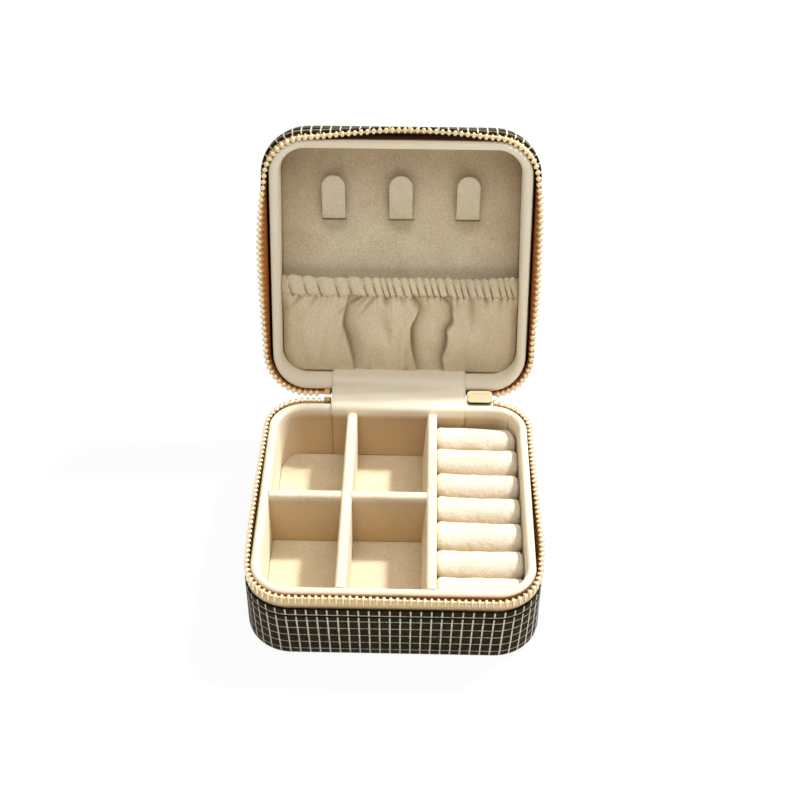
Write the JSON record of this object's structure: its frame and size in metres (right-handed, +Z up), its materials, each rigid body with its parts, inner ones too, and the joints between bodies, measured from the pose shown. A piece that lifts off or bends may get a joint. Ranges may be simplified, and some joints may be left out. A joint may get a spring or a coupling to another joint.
{
  "type": "travel jewellery case",
  "caption": "Square zip-round jewellery case with grid-pattern leather, padded bays, ring rolls, necklace hooks and a gathered pocket in the lid, which opens on a cloth hinge.",
  "frame": {"origin": "on the underside at the middle of the base's square outline", "axes": "+Z up, +Y to the back where the hinge is, +X to the right seen from the front"},
  "size_m": [0.102, 0.1474, 0.1249],
  "materials": {
    "grid_leather": "satin",
    "cream_suede": "matte",
    "roll_suede": "matte",
    "panel_suede": "matte",
    "grey_board": "matte",
    "foam": "matte",
    "elastic": "matte",
    "zip_tape": "matte",
    "gold_metal": "polished"
  },
  "bodies": {
    "base": {"base_board_tray": "grey_board", "base_bottom_panel": "grid_leather", "base_floor_pad": "cream_suede", "base_leather_band": "grid_leather", "base_leather_cover": "grid_leather", "base_liner_wall": "cream_suede", "base_zip_stop": "gold_metal", "base_zip_tape": "zip_tape", "base_zip_teeth": "gold_metal", "divider_long_left": "cream_suede", "divider_long_right": "cream_suede", "divider_short_left": "cream_suede", "divider_short_middle": "cream_suede", "hinge_spine": "grid_leather", "hinge_strap": "cream_suede", "ring_roll_1": "roll_suede", "ring_roll_2": "roll_suede", "ring_roll_3": "roll_suede", "ring_roll_4": "roll_suede", "ring_roll_5": "roll_suede", "ring_roll_6": "roll_suede", "ring_roll_7": "roll_suede", "ring_roll_board": "grey_board"},
    "lid": {"hook_left": "panel_suede", "hook_middle": "panel_suede", "hook_right": "panel_suede", "lid_back_panel": "panel_suede", "lid_board_tray": "grey_board", "lid_leather_band": "grid_leather", "lid_leather_cover": "grid_leather", "lid_liner_rim": "cream_suede", "lid_top_foam": "foam", "lid_zip_stop": "gold_metal", "lid_zip_tape": "zip_tape", "lid_zip_teeth": "gold_metal", "pocket_cloth": "panel_suede", "pocket_elastic": "elastic"},
    "slider": {"slider_body": "gold_metal", "slider_bail": "gold_metal"},
    "pull": {"zip_pull": "gold_metal"}
  },
  "joints": [
    {"name": "lid_hinge", "type": "hinge", "parent": "base", "child": "lid", "pos_m": [0, 0.05, 0.0296], "axis": [1, 0, 0], "range_deg": [0, 109], "deforming": ["hinge_spine", "hinge_strap"]},
    {"name": "slider_tilt", "type": "hinge", "parent": "base", "child": "slider", "pos_m": [0.0303, 0.05, 0.0296], "axis": [1, 0, 0], "range_deg": [0, 54.5]},
    {"name": "pull_swing", "type": "hinge", "parent": "slider", "child": "pull", "pos_m": [0.0303, 0.05203, 0.02675], "axis": [1, 0, 0], "range_deg": [0, 65]}
  ],
  "couplings": [
    {"joint": "slider_tilt", "follows": "lid_hinge", "ratio": 0.5}
  ]
}
